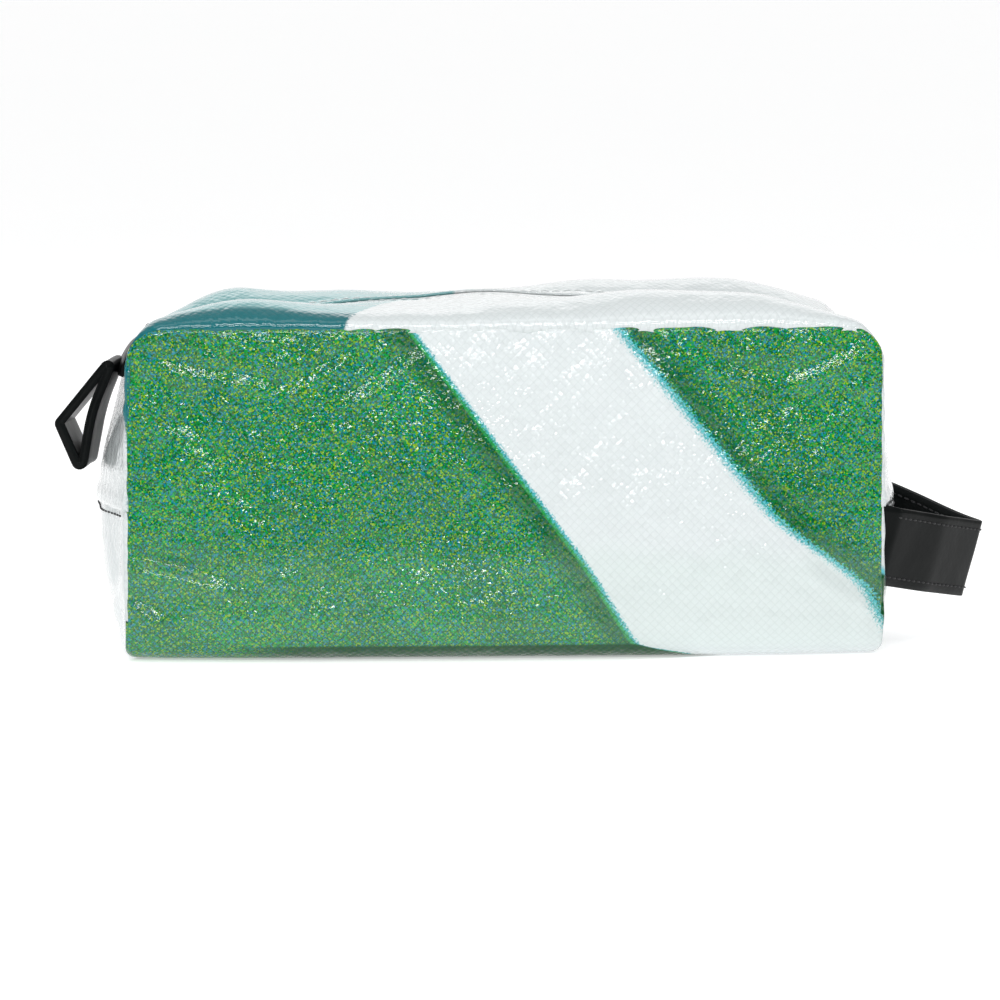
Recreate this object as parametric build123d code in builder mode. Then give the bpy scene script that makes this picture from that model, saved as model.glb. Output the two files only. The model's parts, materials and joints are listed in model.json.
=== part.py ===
"""Zipped toiletry bag: printed vinyl wrap, bulged end panels, arched zip, carry loop and zip-end tab.

Frame: origin on the table under the middle of the bag, +X along its length, +Y to the back, +Z up.
All sizes are millimetres. The bag's outer shape is a loft between the flat front outline, a fuller
outline at mid-depth and the flat back outline; every layer is the same shape set in by its depth.
"""

import os
from math import asin, atan2, ceil, cos, degrees, floor, radians, sin, sqrt

from build123d import *

# Bag body
bag_width = 240.0  # front panel, seam to seam
bag_height = 105.0  # table to the front panel's top seam
bag_depth = 104.0  # front face to back face
end_bulge = 8.0  # how far each end stands out at mid-depth, at the side seam
crown_inset = 3.5  # from the end seams in to the top corners of the mid-depth outline
crest_rise = 7.5  # from the front panel's top seam up to the zip at mid-length
crown_drop = 14.35  # from there down to the top corners
panel_corner_radius = 12.0  # top corners of the front and back panels
crown_corner_radius = 5.0  # top corners at mid-depth
fold_radius = 8.0  # fold from the front panel into the bottom
side_seam_height = 50.0  # seam between the zip gusset and the end panels

# Layers, as depths below the outer surface
vinyl_thickness = 1.0
tape_depth = 1.9
tape_thickness = 0.6
lining_depth = 3.0
lining_thickness = 0.6

# Zip
slot_half_width = 7.5  # half of the gap between the vinyl edges
slot_end_drop = 15.0  # from the top seams down to where the slot ends, on each end of the bag
tape_half_width = 12.0
tape_inner_edge = 3.2  # where a tape ends and its teeth begin
tooth_pitch = 3.2
tooth_length = 1.25  # along the zip
tooth_overlap = 0.9  # how far a tooth reaches past the middle
tooth_height = 2.4
stop_length = 2.0  # of the stops at the zip's two ends, along the zip
stop_edge_radius = 0.4
tape_end_overlap = 1.0  # how far the tapes reach below the slot's ends

# Lips: the parts of the top that open
lip_inset = 36.0  # from the end seams in to the lips
part_gap = 0.3  # clearance between pieces that move on each other
lining_gap_at_zip = 9.5  # half width that the lining leaves open

# Slider and puller
slider_length = 12.0
slider_width = 11.0
slider_plate = 1.2
slider_clearance = 0.35  # above and below the teeth
slider_inset = 12.5  # from the end seams in to where the slider stops
tape_slit = 0.9  # gap between the slider's flanges, for the tape
flange_thickness = 0.8
flange_length = 7.2
plate_corner_radius = 2.2
neck_width = 2.4
neck_length = 4.0
neck_inset = 0.4  # from the slider's outer end to its neck
bridge_width = 2.6
bridge_height = 3.2
bridge_leg = 1.4
bridge_length = 8.0
bridge_corner_radius = 1.1
lock_pin_radius = 0.45
puller_ring_radius = 0.65  # round bar of the puller inside the bridge
puller_length = 24.0
puller_width = 6.5
puller_thickness = 1.4
puller_hole_radius = 1.6
puller_ring_gap = 0.15
puller_tip_radius = 2.2

# Straps
strap_width = 25.4
strap_ply = 1.0
handle_reach = 37.0  # from the end seams to the outside of the fold
handle_fold_radius = 5.0
handle_height = 35.0  # middle of the strap where it is sewn in
handle_droop = 15.0  # degrees
handle_swing_up = 35.0  # degrees up from the way it droops
handle_swing_down = 20.0
handle_bulge_share = 0.75  # of the end's bulge, which the strap clears beside its seams
handle_anchor_depth = 4.0  # how far the strap's ends are tucked into the seams
tab_clearance = 1.6  # between the tab and the bag's end
tab_root_drop = 9.0  # from the top seams down to the tab's root
tab_height = 44.0  # from its root down to where it comes back to the bag
tab_out = 19.0  # from the tab's root to its outer fold, along X
tab_down = 22.5  # and along Z
tab_fold_radius = 2.2
cover_drop = 14.5  # from the top seams down to the lower edge of the cover on the zip's end

# Clearances inside one body
seam_gap = 0.1
loft_margin = 0.5  # how far the lofts run past the bag's flat faces

half_width = bag_width / 2
half_depth = bag_depth / 2
crown_half_width = half_width - crown_inset
crest_height = bag_height + crest_rise
crown_radius = (crown_half_width**2 + crown_drop**2) / (2 * crown_drop)
arch_centre_z = crest_height - crown_radius
slot_end_height = bag_height - slot_end_drop
lip_half_length = half_width - lip_inset
slider_start = half_width - slider_inset
chain_depth = tape_depth + tape_thickness / 2
inner_face = half_depth - vinyl_thickness

# Ranges that reach past the whole bag, for cutting
far = bag_width
low = -bag_height
high = 2 * crest_height
everywhere = (-far, far)


def arch_z(x, depth=0.0):
    """Height of the arched zip line at x, a given depth below the outer surface."""
    return arch_centre_z + sqrt((crown_radius - depth) ** 2 - x**2)


end_arc = ThreePointArc(
    (half_width, 0), (half_width + end_bulge, side_seam_height), (crown_half_width, arch_z(crown_half_width))
)


def end_x(z):
    """How far out the bag's end is at mid-depth, at height z."""
    return end_arc.arc_center.X + sqrt(end_arc.radius**2 - (z - end_arc.arc_center.Y) ** 2)


def panel_outline(depth):
    """Outline of the front and back panels, set in by depth, in a plane seen from the front."""
    tall = bag_height - depth + loft_margin
    with BuildSketch() as outline:
        with Locations((0, tall / 2 - loft_margin)):
            Rectangle(bag_width - 2 * depth, tall)
        fillet(outline.vertices().group_by(Axis.Y)[-1], panel_corner_radius - depth)
    return outline.sketch


def crown_outline(depth):
    """Outline of the bag at mid-depth, with bulged ends and an arched top, set in by depth."""
    with BuildSketch() as outline:
        with Locations((0, arch_centre_z)):
            Circle(crown_radius - depth)
        with Locations((end_arc.arc_center.X, end_arc.arc_center.Y)):
            Circle(end_arc.radius - depth, mode=Mode.INTERSECT)
        with Locations((far / 2, high / 2 - loft_margin)):
            Rectangle(far, high, mode=Mode.INTERSECT)
        top_corner = outline.vertices().sort_by(Axis((0, 0, 0), (1, 1, 0)))[-1]
        fillet(top_corner, crown_corner_radius - depth)
        mirror(about=Plane.YZ)
    return outline.sketch


def front_plane(y):
    """Plane seen from the front, at that y: its own x is +X and its own y is +Z."""
    return Plane.XZ.offset(-y)


def folded_profile(depth):
    """Side view of the wrap: straight front and back, bottom folds rounded, set in by depth."""
    with BuildPart() as profile:
        with BuildSketch(Plane.YZ.offset(-far)):
            with Locations((0, depth + high / 2)):
                Rectangle(bag_depth - 2 * depth, high)
        extrude(amount=2 * far)
        low_edges = profile.edges().filter_by(Axis.X).group_by(Axis.Z)[0]
        fillet(low_edges, fold_radius - depth)
    return profile.part


def body_loft(depth):
    """Loft through the front, mid-depth and back outlines, set in by depth, longer than the bag is deep."""
    y_end = half_depth + loft_margin
    with BuildPart() as shape:
        for y, outline in ((-y_end, panel_outline), (0, crown_outline), (y_end, panel_outline)):
            with BuildSketch(front_plane(y)):
                add(outline(depth))
        loft()
    return shape.part


def envelope(depth):
    """The bag's outer shape as a solid, set in by depth on every side."""
    with BuildPart() as shape:
        add(body_loft(depth))
        add(folded_profile(depth), mode=Mode.INTERSECT)
    return shape.part


def block(x, y, z):
    """A box given by its ranges along X, Y and Z."""
    with BuildPart() as made:
        with Locations(((x[0] + x[1]) / 2, (y[0] + y[1]) / 2, (z[0] + z[1]) / 2)):
            Box(x[1] - x[0], y[1] - y[0], z[1] - z[0])
    return made.part


def crown_band(depth, thickness, x, y, z):
    """A strip that follows the mid-depth outline, between two depths, within the ranges given."""
    with BuildPart() as band:
        with BuildSketch(front_plane(y[1])):
            add(crown_outline(depth))
            add(crown_outline(depth + thickness), mode=Mode.SUBTRACT)
            with Locations(((x[0] + x[1]) / 2, (z[0] + z[1]) / 2)):
                Rectangle(x[1] - x[0], z[1] - z[0], mode=Mode.INTERSECT)
        extrude(amount=y[1] - y[0])
    return band.part


def arch_plane(x, depth):
    """Plane on the zip line at x: its own x runs along the zip, its own z points out of the bag."""
    slope = asin(-x / (crown_radius - depth))
    return Plane(
        origin=(x, 0, arch_z(x, depth)),
        x_dir=(cos(slope), 0, sin(slope)),
        z_dir=(-sin(slope), 0, cos(slope)),
    )


def teeth(x_from, x_to, side, shift):
    """The teeth on one tape between two x. side is -1 for the front tape and 1 for the back one."""
    reach = tape_inner_edge + tooth_overlap
    middle_y = side * (tape_inner_edge - reach / 2)
    first = ceil((x_from - shift) / tooth_pitch)
    last = floor((x_to - shift) / tooth_pitch)
    places = [arch_plane(shift + i * tooth_pitch, chain_depth).location for i in range(first, last + 1)]
    with BuildPart() as row:
        with Locations(*places):
            with Locations((0, middle_y, 0)):
                Box(tooth_length, reach, tooth_height)
    return row.part


def far_side(piece):
    """The same piece at the other end of the bag."""
    return mirror(piece, about=Plane.YZ)


outer_solid = envelope(0)
gusset_core = body_loft(vinyl_thickness)
lining_outside = envelope(lining_depth)
lining_core = body_loft(lining_depth + lining_thickness)
wrap_inside = folded_profile(vinyl_thickness)
lining_room = folded_profile(lining_depth + lining_thickness)

# Carry loop: where the strap is sewn in, and what its ends take out of the seams
handle_plane = Plane(
    origin=(half_width, 0, handle_height),
    x_dir=(cos(radians(handle_droop)), 0, -sin(radians(handle_droop))),
    z_dir=(sin(radians(handle_droop)), 0, cos(radians(handle_droop))),
)
strap_thickness = 2 * strap_ply
root_y = inner_face - part_gap / 2
swing_room = end_bulge * handle_bulge_share


def handle_end(side, gap):
    """The strap's end in its seam, with a gap all round. side is -1 at the front, 1 at the back."""
    reach = swing_room - part_gap
    middle = Vector(0, side * (root_y - strap_thickness / 2), 0)
    middle = middle + handle_plane.x_dir * (reach - handle_anchor_depth) / 2
    place = Plane(origin=handle_plane.origin + middle, x_dir=handle_plane.x_dir, z_dir=handle_plane.z_dir)
    with BuildPart(place) as strap_end:
        Box(handle_anchor_depth + reach + 2 * gap, strap_thickness + 2 * gap, strap_width + 2 * gap)
    return strap_end.part


front_handle_anchor = handle_end(-1, 0)
front_handle_anchor.label = "front_handle_anchor"
back_handle_anchor = handle_end(1, 0)
back_handle_anchor.label = "back_handle_anchor"

# Body panel: one sheet folded from front through bottom to back
with BuildPart() as body_panel:
    add(outer_solid)
    add(wrap_inside, mode=Mode.SUBTRACT)
body_panel.part.label = "body_panel"

# Gusset ring: everything of the vinyl that runs between the two faces
with BuildPart() as gusset:
    add(outer_solid)
    add(wrap_inside, mode=Mode.INTERSECT)
    add(gusset_core, mode=Mode.SUBTRACT)
    add(handle_end(-1, seam_gap), mode=Mode.SUBTRACT)
    add(handle_end(1, seam_gap), mode=Mode.SUBTRACT)

# End panels, below the side seams
with BuildPart() as left_end_panel:
    add(gusset.part)
    add(block((-far, -lip_half_length), everywhere, (low, side_seam_height)), mode=Mode.INTERSECT)
left_end_panel.part.label = "left_end_panel"

with BuildPart() as right_end_panel:
    add(gusset.part)
    add(block((lip_half_length, far), everywhere, (low, side_seam_height)), mode=Mode.INTERSECT)
right_end_panel.part.label = "right_end_panel"

# Gusset ends, from the side seams round the corners to the lips, open round the zip
zip_slot = block(everywhere, (-slot_half_width, slot_half_width), (slot_end_height, high))
end_start = lip_half_length + part_gap

with BuildPart() as left_gusset_end:
    add(gusset.part)
    add(block((-far, -end_start), everywhere, (side_seam_height, high)), mode=Mode.INTERSECT)
    add(zip_slot, mode=Mode.SUBTRACT)
left_gusset_end.part.label = "left_gusset_end"

with BuildPart() as right_gusset_end:
    add(gusset.part)
    add(block((end_start, far), everywhere, (side_seam_height, high)), mode=Mode.INTERSECT)
    add(zip_slot, mode=Mode.SUBTRACT)
right_gusset_end.part.label = "right_gusset_end"

# Lips: the strips of vinyl each side of the zip, hinged on the panels' top seams
lip_x = (-lip_half_length, lip_half_length)
lip_y = (slot_half_width, inner_face - part_gap)
lip_z = (bag_height / 2, high)

with BuildPart() as front_lip_vinyl:
    add(gusset.part)
    add(block(lip_x, (-lip_y[1], -lip_y[0]), lip_z), mode=Mode.INTERSECT)
front_lip_vinyl.part.label = "front_lip_vinyl"

with BuildPart() as back_lip_vinyl:
    add(gusset.part)
    add(block(lip_x, lip_y, lip_z), mode=Mode.INTERSECT)
back_lip_vinyl.part.label = "back_lip_vinyl"

# Lining: the same pieces again inside the vinyl, with a rim below the lips
lining_rim = bag_height - lining_depth - lining_thickness - 2 * part_gap
lining_wall = half_depth - lining_depth - lining_thickness
with BuildPart() as lining_panel:
    add(lining_outside)
    add(lining_room, mode=Mode.SUBTRACT)
    add(block(lip_x, everywhere, (lining_rim, high)), mode=Mode.SUBTRACT)
    add(handle_end(-1, part_gap), mode=Mode.SUBTRACT)
    add(handle_end(1, part_gap), mode=Mode.SUBTRACT)
lining_panel.part.label = "lining_panel"

with BuildPart() as lining_ring:
    add(lining_outside)
    add(lining_room, mode=Mode.INTERSECT)
    add(lining_core, mode=Mode.SUBTRACT)
    add(handle_end(-1, part_gap), mode=Mode.SUBTRACT)
    add(handle_end(1, part_gap), mode=Mode.SUBTRACT)

lining_slot_z = (slot_end_height - tape_end_overlap, high)
lining_slot = block(everywhere, (-lining_gap_at_zip, lining_gap_at_zip), lining_slot_z)

with BuildPart() as left_lining_end:
    add(lining_ring.part)
    add(block((-far, -lip_half_length), everywhere, (low, high)), mode=Mode.INTERSECT)
    add(lining_slot, mode=Mode.SUBTRACT)
left_lining_end.part.label = "left_lining_end"

with BuildPart() as right_lining_end:
    add(lining_ring.part)
    add(block((lip_half_length, far), everywhere, (low, high)), mode=Mode.INTERSECT)
    add(lining_slot, mode=Mode.SUBTRACT)
right_lining_end.part.label = "right_lining_end"

lining_lip_x = (-lip_half_length + part_gap, lip_half_length - part_gap)
lining_lip_y = (lining_gap_at_zip, lining_wall - part_gap)
with BuildPart() as front_lip_lining:
    add(lining_ring.part)
    add(block(lining_lip_x, (-lining_lip_y[1], -lining_lip_y[0]), lip_z), mode=Mode.INTERSECT)
front_lip_lining.part.label = "front_lip_lining"

with BuildPart() as back_lip_lining:
    add(lining_ring.part)
    add(block(lining_lip_x, lining_lip_y, lip_z), mode=Mode.INTERSECT)
back_lip_lining.part.label = "back_lip_lining"

# Zip tapes: one along each lip, and the ends that run down to the slot's ends
front_tape_y = (-tape_half_width, -tape_inner_edge)
back_tape_y = (tape_inner_edge, tape_half_width)
top_z = (slot_end_height, high)
front_tape = crown_band(tape_depth, tape_thickness, lip_x, front_tape_y, top_z)
front_tape.label = "front_tape"
back_tape = crown_band(tape_depth, tape_thickness, lip_x, back_tape_y, top_z)
back_tape.label = "back_tape"

tape_end_z = (slot_end_height - tape_end_overlap, high)
with BuildPart() as right_tape_end:
    add(crown_band(tape_depth, tape_thickness, (end_start, far), front_tape_y, tape_end_z))
    add(crown_band(tape_depth, tape_thickness, (end_start, far), back_tape_y, tape_end_z))
right_tape_end.part.label = "right_tape_end"
left_tape_end = far_side(right_tape_end.part)
left_tape_end.label = "left_tape_end"

# Teeth: moulded on the tapes' edges, the two rows half a pitch apart
half_tooth = tooth_length / 2
half_pitch = tooth_pitch / 2
lip_teeth_end = lip_half_length - half_tooth
front_teeth = teeth(-lip_teeth_end, lip_teeth_end, -1, 0.0)
front_teeth.label = "front_teeth"
back_teeth = teeth(-lip_teeth_end, lip_teeth_end, 1, half_pitch)
back_teeth.label = "back_teeth"

neck_offset = slider_length / 2 - neck_length / 2 - neck_inset
left_teeth_start = -slider_start - neck_offset + neck_length / 2 + half_tooth + part_gap
end_teeth_start = end_start + half_tooth
stop_place = slider_start + slider_length / 2 + part_gap + stop_length / 2
right_teeth_end = stop_place - stop_length / 2 - half_tooth - part_gap
with BuildPart() as left_end_teeth:
    add(teeth(left_teeth_start, -end_teeth_start, -1, 0.0))
    add(teeth(left_teeth_start, -end_teeth_start, 1, half_pitch))
left_end_teeth.part.label = "left_end_teeth"
with BuildPart() as right_end_teeth:
    add(teeth(end_teeth_start, right_teeth_end, -1, 0.0))
    add(teeth(end_teeth_start, right_teeth_end, 1, half_pitch))
right_end_teeth.part.label = "right_end_teeth"

# Stops that bridge the gap between the tapes, just past the slider's travel
with BuildPart(arch_plane(stop_place, chain_depth)) as right_stop:
    Box(stop_length, 2 * tape_inner_edge - seam_gap, tooth_height)
    fillet(right_stop.edges().filter_by(Axis.Y), stop_edge_radius)
right_stop.part.label = "right_stop"
left_stop = far_side(right_stop.part)
left_stop.label = "left_stop"

# Slider: two plates joined by a neck, with flanges that hold the tapes
slider_plane = arch_plane(-slider_start, chain_depth)
channel_half = tooth_height / 2 + slider_clearance
plate_middle = channel_half + slider_plate / 2
flange_height = channel_half - tape_slit / 2
flange_middle = tape_slit / 2 + flange_height / 2
flange_y = (slider_width - flange_thickness) / 2

with BuildPart(slider_plane) as slider_body:
    with Locations((0, 0, plate_middle), (0, 0, -plate_middle)):
        Box(slider_length, slider_width, slider_plate)
    fillet(slider_body.edges().filter_by(slider_plane.location.z_axis), plate_corner_radius)
    with Locations((-neck_offset, 0, 0)):
        Box(neck_length, neck_width, 2 * channel_half)
    with Locations(
        (0, flange_y, flange_middle),
        (0, -flange_y, flange_middle),
        (0, flange_y, -flange_middle),
        (0, -flange_y, -flange_middle),
    ):
        Box(flange_length, flange_thickness, flange_height)
slider_body.part.label = "slider_body"

# Bridge: the arch on the slider that holds the puller
bridge_base = channel_half + slider_plate
bridge_inside_length = bridge_length - 2 * bridge_leg
bridge_inside_height = bridge_height - bridge_leg
bridge_side = Plane(
    origin=slider_plane.origin - slider_plane.y_dir * bridge_width / 2,
    x_dir=slider_plane.x_dir,
    z_dir=slider_plane.y_dir,
)
with BuildPart() as slider_bridge:
    with BuildSketch(bridge_side):
        with Locations((0, -bridge_base - bridge_height / 2)):
            RectangleRounded(bridge_length, bridge_height, bridge_corner_radius)
        with Locations((0, -bridge_base - bridge_inside_height / 2)):
            Rectangle(bridge_inside_length, bridge_inside_height, mode=Mode.SUBTRACT)
    extrude(amount=bridge_width)
slider_bridge.part.label = "slider_bridge"

# Lock pin: stands on the top plate inside the bridge and drops between the teeth
with BuildPart(slider_plane) as lock_pin:
    with Locations((bridge_inside_length / 4, 0, bridge_base + lock_pin_radius)):
        Cylinder(lock_pin_radius, 2 * lock_pin_radius)
lock_pin.part.label = "lock_pin"

# Puller: a flat tab with a round bar at one end that turns inside the bridge
ring_height = bridge_base + bridge_inside_height / 2
ring_x = -(bridge_inside_length / 2 - puller_ring_radius - puller_ring_gap)
cheek_inside = bridge_width / 2 + puller_ring_gap
cheek_thickness = puller_width / 2 - cheek_inside
cheek_length = bridge_length / 2 - ring_x + 3 * puller_ring_gap
puller_plane = Plane(
    origin=slider_plane.origin + slider_plane.x_dir * ring_x + slider_plane.z_dir * ring_height,
    x_dir=slider_plane.x_dir,
    z_dir=slider_plane.z_dir,
)
with BuildPart(puller_plane) as puller:
    Cylinder(puller_ring_radius, puller_width, rotation=(90, 0, 0))
    cheek_y = cheek_inside + cheek_thickness / 2
    cheek_middle = (cheek_length - puller_ring_radius) / 2
    with Locations((cheek_middle, cheek_y, 0), (cheek_middle, -cheek_y, 0)):
        Box(cheek_length + puller_ring_radius, cheek_thickness, puller_thickness)
    with Locations(((cheek_length + puller_length) / 2, 0, 0)):
        Box(puller_length - cheek_length, puller_width, puller_thickness)
    tip_corners = puller.edges().filter_by(puller_plane.location.z_axis)
    tip_corners = tip_corners.sort_by(puller_plane.location.x_axis)[-2:]
    fillet(tip_corners, puller_tip_radius)
    with Locations((puller_length - 2 * puller_hole_radius, 0, 0)):
        Cylinder(puller_hole_radius, 2 * puller_thickness, mode=Mode.SUBTRACT)
puller.part.label = "puller"

# Carry loop: the strap's free length, folded to a V in plan
half_angle = atan2(root_y, handle_reach)
loop_tip = handle_reach + handle_fold_radius * (1 / sin(half_angle) - 1)
behind = 2 * handle_anchor_depth


def loop_outline(depth):
    """Plan of the carry loop's outer face, set in by depth, closed behind the seams."""
    with BuildSketch() as outline:
        with BuildLine():
            Polyline(
                (0, -root_y), (loop_tip, 0), (0, root_y), (-behind, root_y), (-behind, -root_y), close=True
            )
        make_face()
        fillet(outline.vertices().sort_by(Axis.X)[-1], handle_fold_radius)
        if depth:
            offset(amount=-depth, kind=Kind.INTERSECTION)
    return outline.sketch


def swing_reach(swing):
    """How far from the seams the strap's edge starts, to clear the bag's end swung that far from level."""
    angle = radians(swing)
    return (swing_room + strap_width / 2 * sin(angle)) / cos(angle)


def loop_ply(depth):
    """One ply of the carry loop, cut back near the seams so that it can swing."""
    top_reach = swing_reach(handle_swing_up - handle_droop)
    low_reach = swing_reach(handle_swing_down + handle_droop)
    side_plane = Plane(
        origin=handle_plane.origin + Vector(0, half_depth, 0), x_dir=handle_plane.x_dir, z_dir=(0, 1, 0)
    )
    with BuildPart() as ply:
        with BuildSketch(handle_plane.offset(-strap_width / 2)):
            add(loop_outline(depth))
            add(loop_outline(depth + strap_ply), mode=Mode.SUBTRACT)
        extrude(amount=strap_width)
        with BuildSketch(side_plane):
            with BuildLine():
                Polyline(
                    (-2 * behind, strap_width),
                    (2 * low_reach - swing_room, strap_width),
                    (swing_room, 0),
                    (2 * top_reach - swing_room, -strap_width),
                    (-2 * behind, -strap_width),
                    close=True,
                )
            make_face()
        extrude(amount=-bag_depth, mode=Mode.SUBTRACT)
    return ply.part


handle_outer = loop_ply(0)
handle_outer.label = "handle_outer"
handle_inner = loop_ply(strap_ply)
handle_inner.label = "handle_inner"

# Tab at the zip's left end: a strap loop that hangs against the bag's end
tab_root_height = bag_height - tab_root_drop
tab_low_height = tab_root_height - tab_height
tab_middle_height = (tab_root_height + tab_low_height) / 2
tab_root = (-end_x(tab_root_height) - tab_clearance, tab_root_height)
tab_middle = (-end_x(tab_middle_height) - tab_clearance, tab_middle_height)
tab_low = (-end_x(tab_low_height) - tab_clearance, tab_low_height)
with BuildPart() as end_tab:
    with BuildSketch(front_plane(strap_width / 2)) as tab_profile:
        with BuildLine():
            Polyline(tab_root, (tab_root[0] - tab_out, tab_root[1] - tab_down), tab_low)
            ThreePointArc(tab_low, tab_middle, tab_root)
        make_face()
        fillet(tab_profile.vertices(), tab_fold_radius)
        with BuildSketch(mode=Mode.PRIVATE) as tab_hole:
            add(tab_profile.sketch)
            offset(amount=-strap_thickness)
        add(tab_hole.sketch, mode=Mode.SUBTRACT)
    extrude(amount=strap_width)
end_tab.part.label = "end_tab"

# Zip-end cover: the strap's sewn end, laid over the corner where the zip stops
cover_x = (stop_place - stop_length / 4, far)
cover_z = (bag_height - cover_drop, high)
cover_y = (-strap_width / 2, strap_width / 2)
cover_depth = -strap_ply - part_gap
zip_end_cover = far_side(crown_band(cover_depth, strap_ply, cover_x, cover_y, cover_z))
zip_end_cover.label = "zip_end_cover"

pieces = [
    body_panel.part,
    left_end_panel.part,
    right_end_panel.part,
    left_gusset_end.part,
    right_gusset_end.part,
    front_lip_vinyl.part,
    back_lip_vinyl.part,
    lining_panel.part,
    left_lining_end.part,
    right_lining_end.part,
    front_lip_lining.part,
    back_lip_lining.part,
    front_tape,
    back_tape,
    left_tape_end,
    right_tape_end.part,
    front_teeth,
    back_teeth,
    left_end_teeth.part,
    right_end_teeth.part,
    left_stop,
    right_stop.part,
    slider_body.part,
    slider_bridge.part,
    lock_pin.part,
    puller.part,
    front_handle_anchor,
    back_handle_anchor,
    handle_outer,
    handle_inner,
    end_tab.part,
    zip_end_cover,
]

os.makedirs("parts", exist_ok=True)
for piece in pieces:
    export_step(piece, f"parts/{piece.label}.step")

travel = 2 * degrees(asin(slider_start / (crown_radius - chain_depth)))
print(f"slider turns {travel:.3f} deg about y through z {arch_centre_z:.2f}")
print(f"puller axis at {tuple(puller_plane.origin)}, along x {tuple(puller_plane.x_dir)}")
print(f"tab root at {tab_root}, low point at {tab_low}")
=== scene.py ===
"""Looks of the zipped vinyl toiletry bag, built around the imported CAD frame.

Shapes are worked out in millimetres in the row frame and written in metres. The bag's skin is made of
grids: the wrap (front, bottom and back in one sheet), two zip gussets and two end panels. Each vertex
carries print_mm, its place on the flat printed sheet, so the print and the weave follow the vinyl.
"""

import json
import math

import bpy
import numpy as np
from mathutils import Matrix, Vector


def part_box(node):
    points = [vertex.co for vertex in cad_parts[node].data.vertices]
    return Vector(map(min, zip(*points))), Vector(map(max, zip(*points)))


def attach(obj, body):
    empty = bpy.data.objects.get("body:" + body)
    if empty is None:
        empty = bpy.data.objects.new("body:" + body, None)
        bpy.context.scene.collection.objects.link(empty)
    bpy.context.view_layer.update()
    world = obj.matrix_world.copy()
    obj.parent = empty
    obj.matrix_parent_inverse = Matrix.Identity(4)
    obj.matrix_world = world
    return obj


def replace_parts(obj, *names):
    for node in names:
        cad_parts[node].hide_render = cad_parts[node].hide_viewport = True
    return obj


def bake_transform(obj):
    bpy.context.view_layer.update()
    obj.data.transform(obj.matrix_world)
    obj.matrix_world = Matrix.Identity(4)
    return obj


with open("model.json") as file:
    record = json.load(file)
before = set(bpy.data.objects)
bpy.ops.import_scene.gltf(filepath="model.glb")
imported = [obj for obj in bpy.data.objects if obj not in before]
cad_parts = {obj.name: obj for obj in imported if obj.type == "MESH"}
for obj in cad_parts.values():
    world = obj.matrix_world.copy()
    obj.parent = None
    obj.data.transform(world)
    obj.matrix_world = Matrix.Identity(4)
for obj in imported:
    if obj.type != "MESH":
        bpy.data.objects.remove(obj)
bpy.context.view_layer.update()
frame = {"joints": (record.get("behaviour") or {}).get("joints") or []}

MM = 0.001
JOINTS = {joint["name"]: joint for joint in frame["joints"]}


def box_mm(node):
    """Lowest and highest corner of a CAD node, in millimetres."""
    low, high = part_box(node)
    return np.array(low) / MM, np.array(high) / MM


def joint_mm(name):
    """Where a joint's axis is, in millimetres."""
    return np.array(JOINTS[name]["pos_m"]) / MM


# ---------------------------------------------------------------- sizes from the frame
HALF_WIDTH = joint_mm("handle_swing")[0]
HALF_DEPTH = box_mm("body_panel")[1][1]
SEAM_Z = joint_mm("front_lip_hinge")[2]
SIDE_SEAM_Z = box_mm("left_gusset_end")[0][2]
BULGE_X = -box_mm("left_end_panel")[0][0]
ARCH_Z = joint_mm("zip_travel")[2]
TOOTH_HEIGHT = 2.4
CHAIN_RADIUS = box_mm("back_teeth")[1][2] - ARCH_Z - TOOTH_HEIGHT / 2
CHAIN_DEPTH = 2.2
ARCH_RADIUS = CHAIN_RADIUS + CHAIN_DEPTH
SLOT_HALF = 7.5
SLOT_END_Z = 90.0
PANEL_CORNER = 12.0
VINYL = 1.0
STRAP_WIDTH = box_mm("end_tab")[1][1] - box_mm("end_tab")[0][1]

# ---------------------------------------------------------------- soft shape of the bag
FOLD_RADIUS = 12.0
SAG = 5.6  # how far the front and back swell past their seams, low down
SEAM_ROUND = 1.6
ARC_ROWS = 16
CORNER_ROUND = 4.0
LINING_DEPTH = 3.0
LINING_THICK = 0.4
HANDLE_DROOP = 15.0  # degrees
LINING_AT_ZIP = 9.5  # from the zip's middle to the lining's edge
LAST_TOOTH = 112.0  # how far from the middle the teeth run
TOOTH_PITCH = 3.2
TAPE_OUTER, TAPE_INNER = 13.0, 3.0
TAPE_DEPTH = 1.75
TAPE_THICK = 0.6


def smooth(low, high, value):
    """Smooth step from 0 at low to 1 at high."""
    t = np.clip((value - low) / (high - low), 0, 1)
    return t * t * (3 - 2 * t)


def ripple(u, v, size, seed, count=7):
    """Gentle uneven waves about size millimetres across, between about -1 and 1."""
    rng = np.random.default_rng(seed)
    total = np.zeros(np.broadcast(u, v).shape)
    for _ in range(count):
        angle = rng.uniform(0, math.pi)
        length = size * rng.uniform(0.7, 1.6)
        phase = rng.uniform(0, 2 * math.pi)
        along = u * math.cos(angle) + v * math.sin(angle)
        total = total + np.sin(2 * math.pi * along / length + phase)
    return total / math.sqrt(count) / 1.4


def crease(u, v, start, end, width, depth):
    """A sharp-bottomed fold along a line, which fades towards both of its ends."""
    start, end = np.array(start), np.array(end)
    run = end - start
    length = np.hypot(*run)
    along = ((u - start[0]) * run[0] + (v - start[1]) * run[1]) / length**2
    across = ((u - start[0]) * -run[1] + (v - start[1]) * run[0]) / length
    across = across + 1.5 * np.sin(along * 5.0) * width / 4
    fade = smooth(-0.1, 0.25, along) * (1 - smooth(0.7, 1.15, along))
    valley = -np.exp(-np.abs(across / width) ** 1.3)
    ridge = 0.7 * np.exp(-(((across + 1.6 * width) / width) ** 2))
    return depth * fade * (valley + ridge)


def arch_z(x):
    """Height of the bag's outside along the zip line."""
    return ARCH_Z + np.sqrt(ARCH_RADIUS**2 - x**2)


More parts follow.
